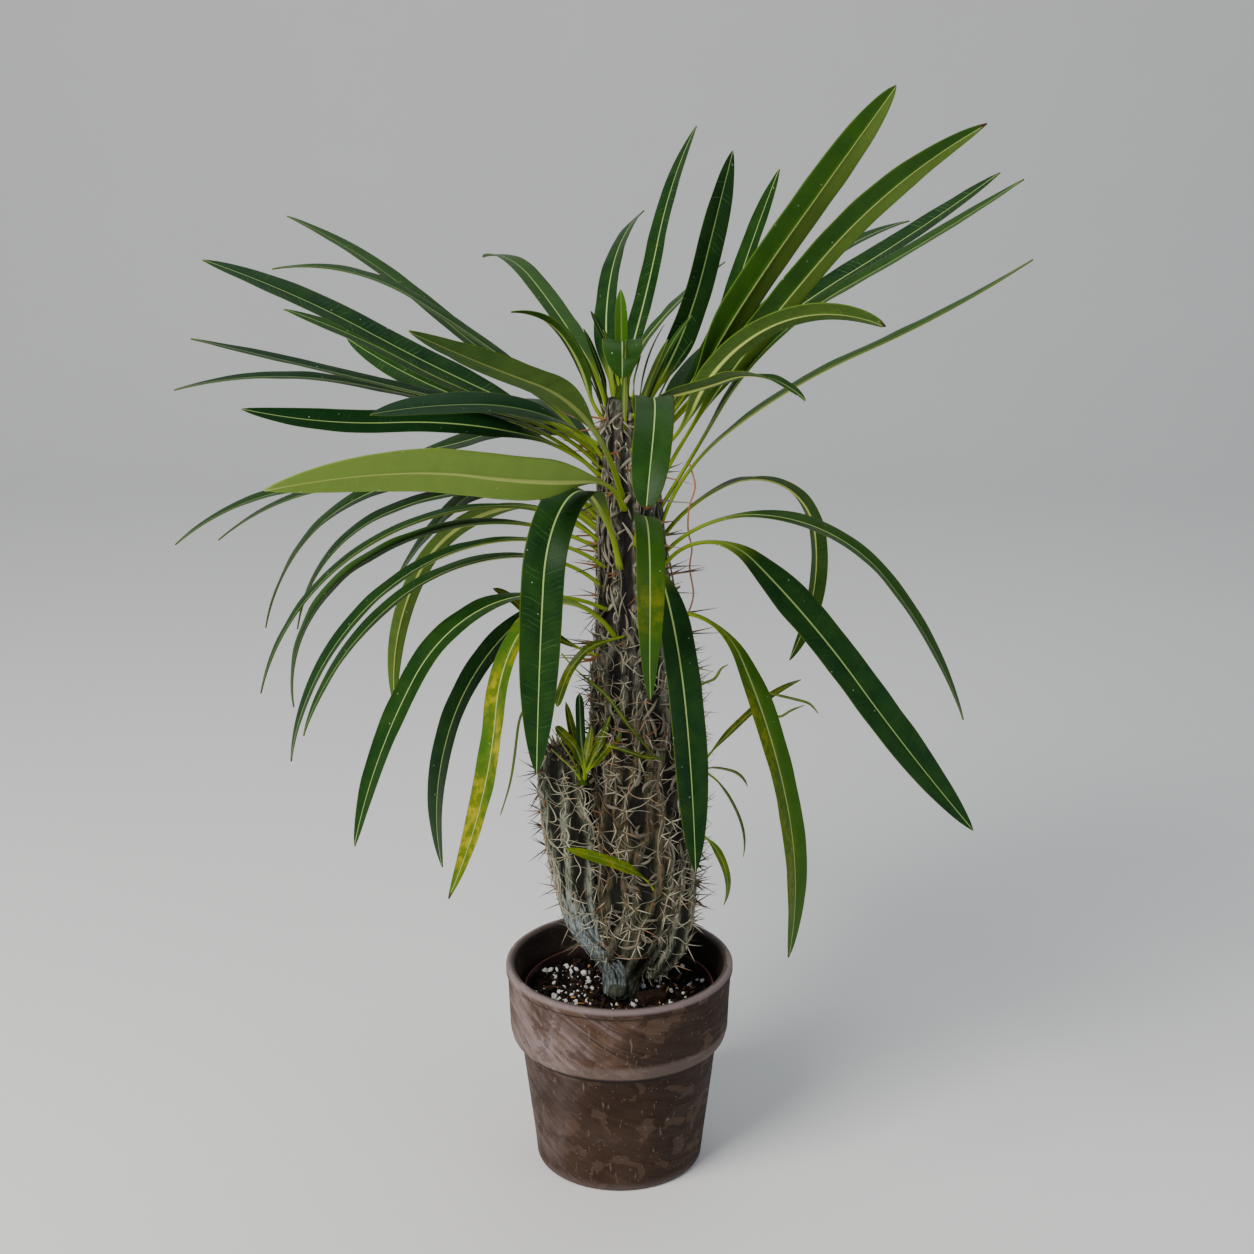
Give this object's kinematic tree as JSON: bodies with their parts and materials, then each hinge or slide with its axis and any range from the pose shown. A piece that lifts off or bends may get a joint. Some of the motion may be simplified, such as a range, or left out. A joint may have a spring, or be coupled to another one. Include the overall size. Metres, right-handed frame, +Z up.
{
  "type": "potted madagascar palm",
  "caption": "Thorny succulent tree with a swollen armed stem and long narrow leaves, growing in soil in a collared clay pot.",
  "frame": {"origin": "centre of the clay pot's underside, on the surface that the pot stands on", "axes": "+Z up along the pot's axis, -Y towards the viewer of the picture, +X to the viewer's right"},
  "size_m": [0.5886, 0.5294, 0.7943],
  "materials": {
    "clay": "matt grey-brown clay with smeared lighter streaks",
    "nursery_plastic": "thin dark red-brown plastic",
    "soil": "near-black potting mix with white perlite and bark bits",
    "bark": "grey-green to brown bark with pale dry spines",
    "spine": "pale dry spines, dark when young",
    "leaf": "glossy dark green leaf, lighter underside, pale midrib",
    "young_leaf": "satin yellow-green young leaf",
    "yellowing_leaf": "satin olive leaf with yellow patches"
  },
  "bodies": {
    "root": {"clay_pot": "clay", "nursery_pot": "nursery_plastic", "soil": "soil", "stem": "bark", "leaf_right_01": "leaf", "leaf_right_02": "leaf", "leaf_right_03": "leaf", "leaf_right_04": "leaf", "leaf_right_05": "leaf", "leaf_right_06": "leaf", "leaf_right_07": "leaf", "leaf_right_08": "leaf", "leaf_right_09": "leaf", "leaf_right_10": "leaf", "leaf_left_01": "leaf", "leaf_left_02": "leaf", "leaf_left_03": "leaf", "leaf_left_04": "leaf", "leaf_left_05": "leaf", "leaf_left_06": "leaf", "leaf_left_07": "leaf", "leaf_left_08": "leaf", "leaf_left_09": "leaf", "leaf_left_10": "leaf", "leaf_left_11": "leaf", "leaf_left_12": "leaf", "leaf_left_13": "leaf", "leaf_left_14": "leaf", "leaf_low_left_01": "leaf", "leaf_low_left_02": "leaf", "leaf_low_left_03": "leaf", "leaf_low_left_04": "leaf", "leaf_low_left_05": "leaf", "leaf_low_left_06": "leaf", "leaf_low_left_07": "leaf", "leaf_low_left_08": "leaf", "leaf_low_left_09": "leaf", "leaf_low_left_10": "leaf", "leaf_low_left_11": "leaf", "leaf_low_left_12": "leaf", "leaf_low_left_13": "yellowing_leaf", "leaf_front_01": "leaf", "leaf_front_02": "leaf", "leaf_front_03": "leaf", "leaf_front_04": "leaf", "leaf_low_right_01": "leaf", "leaf_low_right_02": "leaf", "leaf_low_right_03": "leaf", "leaf_low_right_04": "leaf", "leaf_back_01": "leaf", "leaf_back_02": "leaf", "leaf_back_03": "leaf", "leaf_back_04": "leaf", "leaf_back_05": "leaf", "crown_bud": "young_leaf", "left_shoot": "young_leaf", "right_shoot": "young_leaf", "trunk_leaf_front": "yellowing_leaf", "trunk_leaf_right": "young_leaf"}
  },
  "joints": []
}
